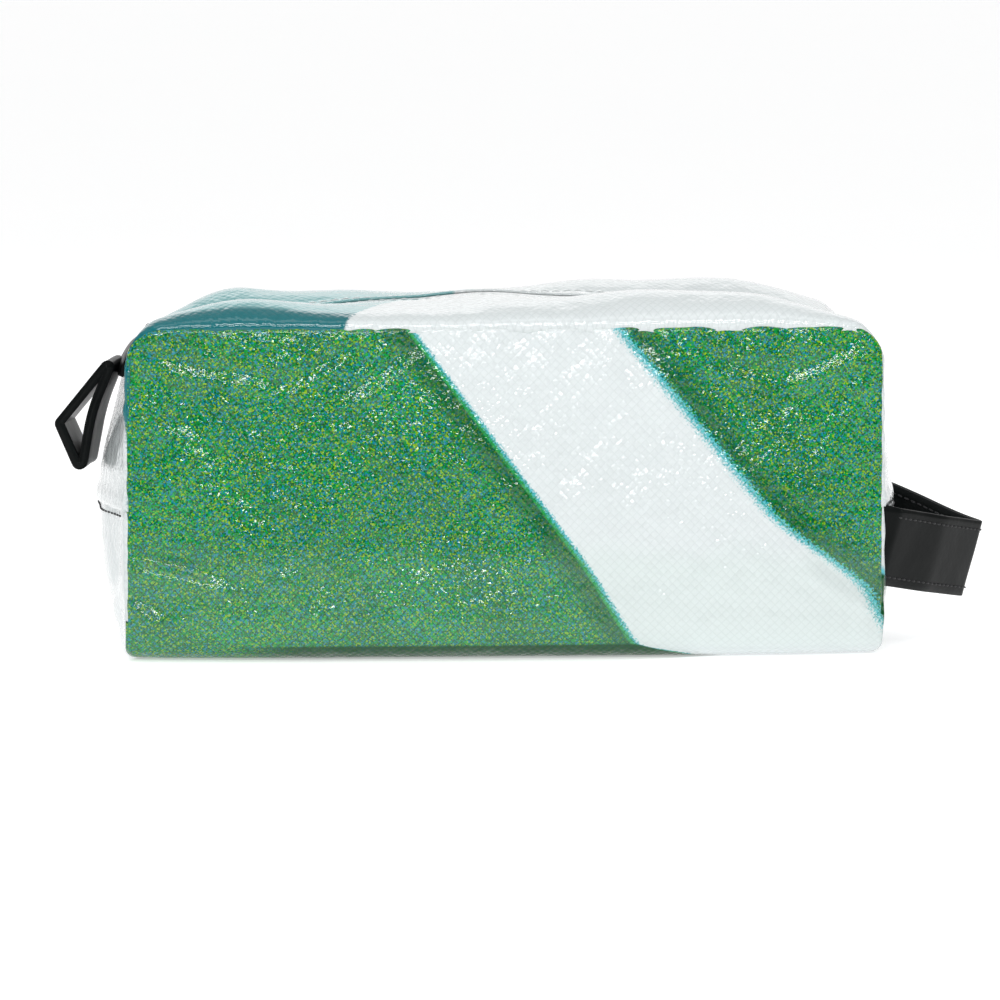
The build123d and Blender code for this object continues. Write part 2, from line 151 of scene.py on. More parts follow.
def path_blend(t, points):
    """Quadratic Bezier curve."""
    p0, p1, p2 = (np.array(p, float) for p in points)
    t = t[..., None]
    return (1 - t) ** 2 * p0 + 2 * t * (1 - t) * p1 + t**2 * p2


RING_SIDE, RING_CORNER, RING_TOP = 43.0, 19.0, 216.0  # lengths along the front seam, side seam to top
RING_LENGTH = 2 * (RING_SIDE + RING_CORNER) + RING_TOP


def half_ring(s):
    """(x, z) of the front seam and of the mid-depth line, for s from the side seam up, right-hand end."""
    s = np.asarray(s, float)
    side = np.clip(s / RING_SIDE, 0, 1)
    corner = np.clip((s - RING_SIDE) / RING_CORNER, 0, 1)
    top = np.clip((s - RING_SIDE - RING_CORNER) / (RING_TOP / 2), 0, 1)
    corner_low = SEAM_Z - PANEL_CORNER
    straight = HALF_WIDTH - PANEL_CORNER
    angle = corner * math.pi / 2
    seam_x = straight + PANEL_CORNER * np.cos(angle) - straight * top
    seam_z = np.where(
        corner > 0,
        corner_low + PANEL_CORNER * np.sin(angle),
        SIDE_SEAM_Z + side * (corner_low - SIDE_SEAM_Z),
    )
    low = np.array([BULGE_X, SIDE_SEAM_Z])
    knee = np.array([119.0, 87.5])
    crown_x = 108.5
    crown = np.array([crown_x, arch_z(crown_x)])
    side_line = low + side[..., None] * (knee - low)
    side_line[..., 0] += 0.9 * np.sin(math.pi * side)
    corner_line = path_blend(corner, [knee, (117.4, 96.6), crown])
    top_x = crown_x * (1 - top)
    top_line = np.stack([top_x, arch_z(top_x)], -1)
    middle = np.where((s < RING_SIDE)[..., None], side_line, corner_line)
    middle = np.where((top > 0)[..., None], top_line, middle)
    return np.stack([seam_x, seam_z], -1), middle


def ring(s):
    """As half_ring, for s from the left side seam over the top to the right one."""
    right = s > RING_LENGTH / 2
    seam, middle = half_ring(np.where(right, RING_LENGTH - s, s))
    sign = np.where(right, 1.0, -1.0)
    seam[..., 0] *= sign
    middle[..., 0] *= sign
    return seam, middle


def outward(points):
    """Unit normals, out of the bag, of a path in the XZ plane that runs left to right over the top."""
    tangent = np.gradient(points, axis=0)
    length = np.hypot(tangent[:, 0], tangent[:, 1])
    rows = np.arange(len(points))
    moving = length > length.max() * 1e-6
    normal = np.stack([-tangent[moving, 1], tangent[moving, 0]], -1) / length[moving, None]
    return np.stack([np.interp(rows, rows[moving], normal[:, k]) for k in range(2)], -1)


def hump(x):
    """How far the vinyl beside the zip stands above the straight line from seam to zip."""
    crest = 112.4 + 2.0 * np.sin((x - 10.0) / 30.0)
    base = SEAM_Z + 0.7 * (arch_z(x) - SEAM_Z)
    return (crest - base) * (1 - smooth(76.0, 126.0, np.abs(x)))


def slump(points):
    """Lets the back's top left corner sag, as the photo shows: the soft bag leans in there."""
    x, y, z = points[..., 0], points[..., 1], points[..., 2]
    weight = smooth(12.0, HALF_DEPTH, y) * smooth(-76.0, -112.0, x) * smooth(58.0, 98.0, z)
    return points + weight[..., None] * np.array([6.0, 0.0, -7.0])


def gusset_surface(s, y, depth=0.0):
    """The gusset's outside, or a layer that lies depth below it. s and y are 1D; gives (s, y, 3)."""
    seam, middle = ring(s)
    normal = outward(middle)
    v = np.abs(y) / HALF_DEPTH
    full = 1 - v**2
    flat = seam[:, None, :] + (middle - seam)[:, None, :] * full[None, :, None]
    x = middle[:, 0][:, None]
    z = middle[:, 1][:, None]
    across = np.clip((1 - v) / (1 - SLOT_HALF / HALF_DEPTH), 0, 1)[None, :]
    on_top = smooth(92.0, 101.0, z)
    lift = hump(x) * np.sin(math.pi * across**0.85) * on_top
    edge = (np.abs(y)[None, :] - SLOT_HALF) / 6.0
    lift = lift - 0.5 * np.exp(-(edge**2)) * on_top
    ss = s[:, None] + 0 * y[None, :]
    yy = y[None, :] + 0 * s[:, None]
    inside = HALF_DEPTH - np.abs(yy)
    lift = lift + 3.0 * (1 - np.exp(-inside / 3.0)) * np.exp(-inside / 16.0) * on_top
    near_seam = np.exp(-((HALF_DEPTH - np.abs(yy)) / 7.0) ** 2)
    near_zip = np.exp(-((np.abs(yy) - SLOT_HALF) / 5.0) ** 2) * on_top
    lift = lift + 0.55 * ripple(ss, yy, 46.0, 11) * (1 - near_seam)
    lift = lift + 0.30 * near_seam * ripple(ss, yy * 0.25, 8.5, 12)
    lift = lift + 0.20 * near_zip * ripple(ss, yy * 0.2, 10.0, 13)
    from_seam = HALF_DEPTH - np.abs(yy)
    tuck = np.clip(SEAM_ROUND - from_seam, 0, SEAM_ROUND)
    lift = lift - (SEAM_ROUND - np.sqrt(SEAM_ROUND**2 - tuck**2))
    points = flat + normal[:, None, :] * (lift - depth)[..., None]
    return slump(np.stack([points[..., 0], yy, points[..., 1]], -1))


# ---------------------------------------------------------------- mesh helpers
def grid_faces(rows, columns, wrap_rows=False):
    """Quads of a grid of points, row after row."""
    last = rows if wrap_rows else rows - 1
    i = np.arange(last)[:, None]
    j = np.arange(columns - 1)[None, :]
    a = i * columns + j
    b = (i + 1) % rows * columns + j
    return np.stack([a, b, b + 1, a + 1], -1).reshape(-1, 4)


def tube_faces(first, rings, count, closed=False, flip=False):
    """Quads between rings of count points each, from point first on, with flat caps unless it is closed."""
    faces = []
    for k in range(rings if closed else rings - 1):
        here = first + k * count
        ahead = first + (k + 1) % rings * count
        for m in range(count):
            beside = (m + 1) % count
            faces.append((here + m, here + beside, ahead + beside, ahead + m))
    if not closed:
        last = first + (rings - 1) * count
        faces.append(tuple(reversed(range(first, first + count))))
        faces.append(tuple(range(last, last + count)))
    return [face[::-1] for face in faces] if flip else faces


def mesh_object(name, points, faces, material, print_mm=None):
    """A smooth-shaded mesh object from points in millimetres."""
    mesh = bpy.data.meshes.new(name)
    flat = np.asarray(points, float).reshape(-1, 3)
    mesh.from_pydata((flat * MM).tolist(), [], [list(map(int, f)) for f in faces])
    mesh.validate()
    if print_mm is not None:
        attribute = mesh.attributes.new("print_mm", "FLOAT_VECTOR", "POINT")
        attribute.data.foreach_set("vector", np.asarray(print_mm, np.float32).ravel())
    mesh.shade_smooth()
    mesh.materials.append(material)
    made = bpy.data.objects.new(name, mesh)
    bpy.context.scene.collection.objects.link(made)
    return made


def thicken(piece, thickness):
    """Turns a sheet's face away from the bag's middle and gives it its thickness, measured inwards."""
    middle = Vector((0, 0, SEAM_Z * MM / 2))
    faces = piece.data.polygons
    if sum((face.center - middle).dot(face.normal) * face.area for face in faces) < 0:
        piece.data.flip_normals()
    solid = piece.modifiers.new("thickness", "SOLIDIFY")
    solid.thickness = thickness * MM
    solid.offset = -1.0
    return piece


def finish_piece(piece, body, slot, *nodes):
    """Rides a piece on a body and hides the CAD nodes that it stands for; slot is not used."""
    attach(piece, body)
    if nodes:
        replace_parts(piece, *nodes)
    return piece


def open_with_lip(piece):
    """Bakes the placement of a piece by the gusset into its mesh."""
    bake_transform(piece)
    return piece


# ---------------------------------------------------------------- node helpers
class Nodes:
    """Short way to build a material's node tree."""

    def __init__(self, name):
        self.material = bpy.data.materials.new(name)
        self.material.use_nodes = True
        self.tree = self.material.node_tree
        self.tree.nodes.clear()
        self.shader = self.tree.nodes.new("ShaderNodeBsdfPrincipled")
        out = self.tree.nodes.new("ShaderNodeOutputMaterial")
        self.tree.links.new(self.shader.outputs[0], out.inputs[0])

    def put(self, socket, value):
        """Links a node's output to a socket, or sets the socket's own value."""
        if isinstance(value, bpy.types.NodeSocket):
            self.tree.links.new(value, socket)
        elif value is not None:
            socket.default_value = value

    def new(self, kind, **settings):
        node = self.tree.nodes.new(kind)
        for key, value in settings.items():
            setattr(node, key, value)
        return node

    def math(self, operation, a, b=None):
        node = self.new("ShaderNodeMath", operation=operation)
        self.put(node.inputs[0], a)
        self.put(node.inputs[1], b)
        return node.outputs[0]

    def plus(self, a, b):
        return self.math("ADD", a, b)

    def minus(self, a, b):
        return self.math("SUBTRACT", a, b)

    def times(self, a, b):
        return self.math("MULTIPLY", a, b)

    def step(self, value, low, high):
        """Smooth step from 0 at low to 1 at high. low may be the larger."""
        node = self.new("ShaderNodeMapRange", interpolation_type="SMOOTHSTEP", clamp=True)
        self.put(node.inputs["Value"], value)
        node.inputs["From Min"].default_value = min(low, high)
        node.inputs["From Max"].default_value = max(low, high)
        node.inputs["To Min"].default_value = float(low > high)
        node.inputs["To Max"].default_value = float(low < high)
        return node.outputs["Result"]

    def mix(self, factor, a, b):
        """Colour a where factor is 0, b where it is 1."""
        node = self.new("ShaderNodeMix", data_type="RGBA", clamp_factor=True)
        self.put(node.inputs[0], factor)
        self.put(node.inputs[6], a)
        self.put(node.inputs[7], b)
        return node.outputs[2]

    def place(self, attribute="print_mm"):
        """(vector, x, y, z) of the place on the sheet, in millimetres."""
        vector = self.new("ShaderNodeAttribute", attribute_name=attribute).outputs["Vector"]
        split = self.new("ShaderNodeSeparateXYZ")
        self.put(split.inputs[0], vector)
        return vector, split.outputs[0], split.outputs[1], split.outputs[2]

    def noise(self, vector, size, detail=2.0, rough=0.5):
        """Noise about size millimetres across."""
        node = self.new("ShaderNodeTexNoise")
        self.put(node.inputs["Vector"], vector)
        self.put(node.inputs["Scale"], 1.0 / size)
        self.put(node.inputs["Detail"], detail)
        self.put(node.inputs["Roughness"], rough)
        return node.outputs["Fac"]

    def speckle(self, vector, size):
        """A random colour for each cell about size millimetres across."""
        node = self.new("ShaderNodeTexVoronoi", feature="F1")
        self.put(node.inputs["Vector"], vector)
        self.put(node.inputs["Scale"], 1.0 / size)
        return node.outputs["Color"]

    def bump(self, height, distance, strength=1.0, normal=None):
        node = self.new("ShaderNodeBump")
        self.put(node.inputs["Height"], height)
        node.inputs["Distance"].default_value = distance * MM
        node.inputs["Strength"].default_value = strength
        self.put(node.inputs["Normal"], normal)
        return node.outputs["Normal"]

    def set(self, **values):
        for key, value in values.items():
            self.put(self.shader.inputs[key.replace("_", " ")], value)
        return self.material


def rgb(*colour):
    return (*colour, 1.0)


WEAVE_PITCH = 2.0


def weave(n, x, y):
    """The scrim inside banner vinyl, crossing at 45 degrees: its height, and the lines between its yarns."""
    along = n.times(n.plus(x, y), math.sqrt(0.5))
    across = n.times(n.minus(x, y), math.sqrt(0.5))
    turn = math.pi / WEAVE_PITCH
    first = n.math("ABSOLUTE", n.math("SINE", n.times(along, turn)))
    second = n.math("ABSOLUTE", n.math("SINE", n.times(across, turn)))
    height = n.times(n.plus(first, second), 0.5)
    return height, n.minus(1.0, n.step(n.math("MINIMUM", first, second), 0.04, 0.40))


def vinyl_finish(n, colour, x, y, vector, shadow=0.08, rough=0.3):
    """Glossy plastic face over a woven scrim, with small dents and rubbed patches."""
    scrim, lines = weave(n, x, y)
    dents = n.noise(vector, 7.0, 3.0, 0.55)
    grain = n.noise(vector, 1.1, 2.0, 0.6)
    rubbed = n.noise(vector, 22.0, 3.0, 0.6)
    normal = n.bump(scrim, 0.12, 1.0)
    normal = n.bump(dents, 0.7, 0.45, normal)
    normal = n.bump(grain, 0.05, 0.6, normal)
    coat_normal = n.bump(scrim, 0.10, 0.9)
    coat_normal = n.bump(dents, 1.3, 0.8, coat_normal)
    roughness = n.plus(n.times(rubbed, 0.22), rough - 0.08)
    shade = n.mix(n.times(lines, shadow), colour, rgb(0.0, 0.05, 0.03))
    return n.set(
        Base_Color=shade,
        Roughness=roughness,
        Specular_IOR_Level=0.08,
        Coat_Weight=1.0,
        Coat_IOR=1.42,
        Coat_Roughness=0.035,
        Normal=normal,
        Coat_Normal=coat_normal,
    )


WHITE = rgb(0.66, 0.705, 0.71)
GREEN_DARK = rgb(0.0, 0.070, 0.014)
GREEN = rgb(0.0, 0.250, 0.028)
GREEN_PALE = rgb(0.006, 0.34, 0.055)
BLUE_DOT = rgb(0.0, 0.20, 0.32)
YELLOW_DOT = rgb(0.24, 0.42, 0.0)
CYAN = rgb(0.08, 0.48, 0.55)
TEAL_DARK = rgb(0.0, 0.135, 0.155)
# Paler teal, a painted reflection on the gusset's top.
TEAL_PAINTED_REFLECTION = rgb(0.17, 0.40, 0.41)
TEAL_LIGHT = rgb(0.30, 0.55, 0.56)


def green_print(n, vector, x, t):
    """Green halftone with yellow and blue dots, darker leaf-like streaks and paler patches."""
    patches = n.noise(vector, 34.0, 3.0, 0.55)
    base = n.mix(n.step(patches, 0.35, 0.75), GREEN, GREEN_PALE)
    bend = n.times(n.noise(vector, 60.0, 1.0), 10.0)
    across = n.plus(n.times(t, 0.70), n.plus(x, bend))
    streaks = ((-30.0, 16.0, 0.3), (-96.0, 12.0, 0.3), (14.0, 12.0, 0.3), (140.0, 9.0, 0.35))
    for middle, width, depth in streaks:
        away = n.math("ABSOLUTE", n.minus(across, middle))
        streak = n.minus(1.0, n.step(away, 0.0, width))
        base = n.mix(n.times(streak, depth), base, GREEN_DARK)
    split = n.new("ShaderNodeSeparateColor")
    n.put(split.inputs[0], n.speckle(vector, 0.46))
    base = n.mix(n.times(n.step(split.outputs[0], 0.70, 0.74), 0.90), base, YELLOW_DOT)
    base = n.mix(n.times(n.step(split.outputs[1], 0.68, 0.72), 0.90), base, BLUE_DOT)
    return n.mix(n.times(n.step(split.outputs[2], 0.66, 0.70), 0.82), base, GREEN_DARK)


def band_edge(n, down, start, slope, bends):
    """x of one edge of the white band, a height down from the seam: a slope with smooth bends."""
    edge = n.plus(n.times(down, slope), start)
    for amount, low, high in bends:
        edge = n.plus(edge, n.times(n.step(down, low, high), amount))
    return edge


def printed_vinyl():
    """The wrap: green with a broad white diagonal band, and a second band on the back."""
    n = Nodes("printed_vinyl")
    vector, x, t, _ = n.place()
    down = n.minus(103.6, t)
    colour = green_print(n, vector, x, t)
    fuzz = n.times(n.minus(n.noise(vector, 0.7, 2.0), 0.5), 9.0)
    whiteness = 0.0
    for shift in (0.0, -260.0):
        left = band_edge(n, down, shift - 29.5, 0.738, ((-3.0, 70.0, 102.0), (12.0, 99.0, 106.0)))
        right = band_edge(n, down, shift + 36.0, 0.82, ((11.0, 56.0, 84.0), (-3.5, 80.0, 95.0)))
        from_left = n.minus(x, left)
        from_right = n.minus(x, right)
        past = n.plus(from_right, fuzz)
        before = n.plus(from_left, n.times(fuzz, 0.45))
        dark_left = n.times(n.step(from_left, -14.0, -3.0), n.step(from_left, 0.6, -0.6))
        dark_right = n.times(n.step(from_right, 17.0, 4.0), n.step(past, 1.0, 3.5))
        colour = n.mix(n.times(dark_left, 0.7), colour, GREEN_DARK)
        colour = n.mix(n.times(dark_right, 0.6), colour, GREEN_DARK)
        rim = n.times(n.step(from_left, -2.0, -1.2), n.step(from_left, 0.2, -0.4))
        colour = n.mix(n.times(rim, 0.7), colour, rgb(0.02, 0.36, 0.07))
        fade = n.times(n.step(before, -1.0, 0.6), n.step(past, 2.2, 0.8))
        colour = n.mix(n.times(fade, 0.85), colour, CYAN)
        white = n.times(n.step(before, 0.3, 1.6), n.step(past, 0.6, -3.2))
        colour = n.mix(white, colour, WHITE)
        whiteness = n.plus(whiteness, white)
    # Painted reflection: the lower front is mixed a little towards pale green, standing in for the white
    # floor mirrored in the gloss.
    wavy = n.plus(t, n.times(n.noise(vector, 26.0, 2.0), 14.0))
    painted_floor_reflection = n.times(n.step(wavy, 46.0, 35.0), n.step(t, -2.0, 6.0))
    colour = n.mix(n.times(painted_floor_reflection, 0.09), colour, rgb(0.42, 0.66, 0.50))
    # Painted shade: dark green along the underside of the bottom fold, where it turns under the bag.
    painted_fold_shade = n.times(n.step(t, 4.6, 3.4), n.step(x, -98.0, -60.0))
    painted_fold_shade = n.times(painted_fold_shade, n.step(n.plus(x, n.times(t, 2.6)), 52.5, 51.0))
    painted_fold_shade = n.times(painted_fold_shade, n.step(t, -10.0, -6.0))
    colour = n.mix(n.times(painted_fold_shade, 0.9), colour, rgb(0.0, 0.055, 0.012))
    shadow = n.minus(0.42, n.times(whiteness, 0.36))
    return vinyl_finish(n, colour, x, t, vector, shadow)


def gusset_vinyl():
    """White vinyl with a teal corner of the banner's print, over the zip gusset and the ends. Away from the
    seam the teal is paler: a painted reflection.
    """
    n = Nodes("gusset_vinyl")
    vector, s, q, _ = n.place()
    soft = n.times(n.minus(n.noise(vector, 0.9, 1.0), 0.5), 2.4)
    rise = n.step(s, 12.0, 46.0)
    to_top = n.times(n.step(s, 46.0, 60.0), 100.0)
    edge = n.plus(q, soft)
    stripe = n.step(n.minus(n.times(rise, 6.0), edge), -0.6, 1.2)
    wedge = n.step(n.minus(n.times(n.step(s, 24.0, 50.0), 15.0), edge), -1.0, 2.0)
    crown = n.step(n.minus(to_top, edge), -1.0, 2.0)
    limit = n.plus(n.times(q, 0.64), 119.6)
    before = n.step(n.minus(limit, n.plus(s, soft)), -0.6, 1.2)
    # Painted reflection: the teal turns paler from about 5 mm off the seam, standing in for bright sky
    # mirrored at a grazing angle.
    painted_reflection_tone = n.mix(n.step(q, 5.0, 8.5), TEAL_DARK, TEAL_PAINTED_REFLECTION)
    colour = n.mix(wedge, WHITE, TEAL_LIGHT)
    colour = n.mix(stripe, colour, TEAL_DARK)
    colour = n.mix(crown, colour, painted_reflection_tone)
    colour = n.mix(n.step(before, 1.0, 0.0), colour, WHITE)
    return vinyl_finish(n, colour, s, q, vector, rough=0.34)


def end_vinyl():
    """The end panels: white, with the tip of a green leaf low down near the front on the right."""
    n = Nodes("end_vinyl")
    vector, s, q, end = n.place()
    from_front = n.plus(s, 52.0)
    height = n.math("ABSOLUTE", n.minus(q, 17.0))
    wedge = n.minus(n.minus(15.0, from_front), n.times(height, 1.4))
    wedge = n.minus(wedge, n.times(n.minus(1.0, end), 60.0))
    rim = n.mix(n.step(wedge, -3.0, 0.5), WHITE, CYAN)
    colour = n.mix(n.step(wedge, 0.5, 2.5), rim, GREEN_DARK)
    return vinyl_finish(n, colour, s, q, vector, rough=0.34)


def strap_vinyl():
    """Glossy black vinyl cut for straps."""
    n = Nodes("strap_vinyl")
    vector, x, y, _ = n.place()
    tone = n.mix(n.noise(vector, 9.0, 3.0), rgb(0.003, 0.004, 0.004), rgb(0.009, 0.010, 0.010))
    scrim, _ = weave(n, x, y)
    normal = n.bump(scrim, 0.02, 0.4)
    normal = n.bump(n.noise(vector, 6.0, 3.0), 0.35, 0.35, normal)
    coat = n.bump(n.noise(vector, 9.0, 2.0), 0.4, 0.3)
    rough = n.plus(n.times(n.noise(vector, 12.0, 3.0), 0.16), 0.26)
    return n.set(
        Base_Color=tone,
        Roughness=rough,
        Specular_IOR_Level=0.02,
        Coat_Weight=0.12,
        Coat_IOR=1.35,
        Coat_Roughness=0.10,
        Normal=normal,
        Coat_Normal=coat,
    )


def woven(name, first, second, pitch, rough=0.75):
    """Plain weave cloth for the lining and the zip's tapes."""
    n = Nodes(name)
    vector, x, y, _ = n.place()
    turn = math.pi / pitch
    warp = n.math("ABSOLUTE", n.math("SINE", n.times(x, turn)))
    weft = n.math("ABSOLUTE", n.math("SINE", n.times(y, turn)))
    height = n.math("MAXIMUM", warp, weft)
    tone = n.mix(n.times(n.plus(height, n.noise(vector, 5.0)), 0.5), first, second)
    normal = n.bump(height, pitch * 0.18, 0.8)
    normal = n.bump(n.noise(vector, 12.0, 3.0), 1.0, 0.4, normal)
    return n.set(Base_Color=tone, Roughness=rough, Sheen_Weight=0.25, Normal=normal)


def plain_finish(name, colour, second, rough, size=0.9, metallic=0.0, coat=0.0, depth=0.02):
    """Moulded, lacquered or spun surface with a fine unevenness, in object space."""
    n = Nodes(name)
    place = n.new("ShaderNodeTexCoord").outputs["Object"]
    millimetres = n.new("ShaderNodeVectorMath", operation="SCALE")
    n.put(millimetres.inputs[0], place)
    millimetres.inputs["Scale"].default_value = 1 / MM
    vector = millimetres.outputs[0]
    tone = n.mix(n.noise(vector, size * 3, 3.0), colour, second)
    roughness = n.plus(n.times(n.noise(vector, size * 2, 3.0), 0.2), rough - 0.1)
    normal = n.bump(n.noise(vector, size * 0.4, 2.0), depth, 0.5)
    n.set(Coat_Weight=coat, Coat_Roughness=0.15)
    return n.set(Base_Color=tone, Roughness=roughness, Metallic=metallic, Normal=normal)


PRINTED = printed_vinyl()
GUSSET = gusset_vinyl()
ENDS = end_vinyl()
STRAP = strap_vinyl()
LINING = woven("lining_fabric", rgb(0.012, 0.013, 0.015), rgb(0.05, 0.053, 0.058), 0.55)
TAPE = woven("zip_tape", rgb(0.008, 0.008, 0.009), rgb(0.03, 0.03, 0.032), 0.6)
TEETH = plain_finish("zip_teeth", rgb(0.012, 0.012, 0.013), rgb(0.03, 0.03, 0.032), 0.38)
METAL = plain_finish("zip_metal", rgb(0.02, 0.02, 0.022), rgb(0.05, 0.05, 0.053), 0.3, metallic=0.6, coat=0.5)
SPUN = {"rough": 0.6, "size": 0.3, "depth": 0.05}
THREAD = plain_finish("black_thread", rgb(0.006, 0.006, 0.007), rgb(0.02, 0.02, 0.022), **SPUN)
WHITE_THREAD = plain_finish("white_thread", rgb(0.62, 0.64, 0.64), rgb(0.78, 0.80, 0.80), **SPUN)


# ---------------------------------------------------------------- camera, light and floor
def camera_and_light():
    """Camera a little to the left and above, over a pale floor, with soft light from above and both sides."""
    scene = bpy.context.scene
    azimuth, elevation, distance = math.radians(-4.0), math.radians(5.3), 2.2
    target = Vector((0.0017, 0.0, 0.0455))
    level = math.cos(elevation)
    offset = Vector((math.sin(azimuth) * level, -math.cos(azimuth) * level, math.sin(elevation)))
    camera = bpy.data.objects.new("camera", bpy.data.cameras.new("camera"))
    camera.location = target + offset * distance
    camera.rotation_euler = (-offset).to_track_quat("-Z", "Y").to_euler()
    camera.data.angle = math.radians(8.40)
    camera.data.clip_end = 100
    scene.collection.objects.link(camera)
    scene.camera = camera

    world = bpy.data.worlds.new("studio")
    world.use_nodes = True
    scene.world = world
    tree = world.node_tree
    place = tree.nodes.new("ShaderNodeTexCoord")
    split = tree.nodes.new("ShaderNodeSeparateXYZ")
    back = tree.nodes.new("ShaderNodeMapRange")
    over = tree.nodes.new("ShaderNodeMapRange")
    for node, output, low, high, strength in ((back, 1, 0.35, 0.97, 1.05), (over, 2, 0.25, 0.95, 0.75)):
        node.interpolation_type = "SMOOTHSTEP"
        tree.links.new(split.outputs[output], node.inputs["Value"])
        node.inputs["From Min"].default_value = low
        node.inputs["From Max"].default_value = high
        node.inputs["To Min"].default_value = 0.03
        node.inputs["To Max"].default_value = strength
    total = tree.nodes.new("ShaderNodeMath")
    total.operation = "MAXIMUM"
    tree.links.new(back.outputs["Result"], total.inputs[0])
    tree.links.new(over.outputs["Result"], total.inputs[1])
    tree.links.new(place.outputs["Generated"], split.inputs[0])
    background = tree.nodes["Background"]
    background.inputs[0].default_value = (1.0, 1.0, 1.0, 1)
    tree.links.new(total.outputs[0], background.inputs[1])

    def softbox(name, place, aim, size, power):
        light = bpy.data.lights.new(name, "AREA")
        light.shape = "RECTANGLE"
        light.size, light.size_y = size
        light.energy = power
        made = bpy.data.objects.new(name, light)
        made.location = place
        made.rotation_euler = (Vector(aim) - Vector(place)).to_track_quat("-Z", "Y").to_euler()
        scene.collection.objects.link(made)

    middle = (0, 0, 0.05)
    softbox("top_light", (0.0, -0.5, 1.4), middle, (1.3, 0.4), 3.0)
    softbox("front_strip", (0.0, -1.7, 0.70), middle, (0.9, 0.07), 7.0)
    softbox("front_high", (0.0, -1.45, 1.12), middle, (0.9, 0.10), 9.0)
    softbox("left_fill", (-1.5, -0.1, 0.45), middle, (0.5, 0.6), 2.5)
    softbox("right_strip", (1.4, 0.2, 0.5), middle, (0.12, 0.7), 1.0)
    softbox("back_light", (0.2, 1.4, 1.0), middle, (1.4, 0.8), 2.0)

    floor_material = Nodes("floor")
    floor_place = floor_material.new("ShaderNodeTexCoord").outputs["Object"]
    tone = floor_material.mix(
        floor_material.noise(floor_place, 0.3), rgb(0.90, 0.905, 0.91), rgb(0.93, 0.93, 0.93)
    )
    floor_material.set(Base_Color=tone, Roughness=0.6, Emission_Color=rgb(1, 1, 1), Emission_Strength=0.42)
    size = 40.0
    mesh = bpy.data.meshes.new("floor")
    corners = [(-size, -size, 0), (size, -size, 0), (size, size, 0), (-size, size, 0)]
    mesh.from_pydata(corners, [], [(0, 1, 2, 3)])
    mesh.materials.append(floor_material.material)
    floor = bpy.data.objects.new("floor", mesh)
    floor.location.z = -0.0002
    scene.collection.objects.link(floor)
    scene.view_settings.view_transform = "Standard"


camera_and_light()


# ---------------------------------------------------------------- the wrap: front, bottom and back
def top_of_panel(x):
    """Height of the front panel's seam at x, with its rounded corners."""
    over = np.clip(np.abs(x) - (HALF_WIDTH - PANEL_CORNER), 0, PANEL_CORNER)
    return SEAM_Z - PANEL_CORNER + np.sqrt(PANEL_CORNER**2 - over**2)


def from_outline(x, z):
    """Distance from a point on the front panel to its side and top seams."""
    qx = np.abs(x) - (HALF_WIDTH - PANEL_CORNER)
    qz = z - (SEAM_Z - PANEL_CORNER)
    straight = np.minimum(HALF_WIDTH - np.abs(x), SEAM_Z - z)
    return np.where((qx > 0) & (qz > 0), PANEL_CORNER - np.hypot(qx, qz), straight)


def front_relief(x, z, seed):
    """How far the vinyl of the front or back stands out from its smooth sag."""
    edge = from_outline(x, z)
    inner = smooth(0.0, 16.0, edge)
    puckers = np.exp(-((edge / 8.0) ** 2)) * 0.5 * ripple(x + 0.4 * z, z * 0.3, 10.5, seed)
    puckers *= smooth(0.0, 4.0, edge)
    relief = 0.75 * ripple(x, z, 52.0, seed + 1) * inner
    relief += 0.28 * ripple(x - z, (x + z) * 0.35, 21.0, seed + 2) * inner
    relief += 0.10 * ripple(x, z, 9.0, seed + 3) * smooth(0, 6, edge)
    drag = smooth(34.0, 8.0, edge) * 0.35 * ripple(x - 0.8 * z, (x + z) * 0.25, 15.0, seed + 4)
    return relief + puckers + drag * smooth(60.0, 90.0, z)


def front_creases(x, z):
    """The folds pressed into the front, each as (start, end, width, depth)."""
    low_left = (
        ((-126, 38), (-88, 25), 2.6, 2.6),
        ((-126, 26), (-108, 14), 2.0, 1.8),
        ((-110, 32), (-84, 30), 1.8, 0.6),
    )
    under_seam = (
        ((-112, 97), (-74, 88), 2.2, 0.9),
        ((-74, 86), (-50, 97), 2.0, 0.8),
        ((-52, 84), (-28, 98), 2.4, 0.9),
        ((60, 98), (86, 88), 2.2, 0.8),
        ((86, 90), (112, 98), 2.4, 0.7),
    )
    long_folds = (((-106, 88), (-52, 12), 5.0, 0.5), ((96, 34), (124, 14), 3.0, 1.0))
    return sum(crease(x, z, *fold) for fold in low_left + under_seam + long_folds)


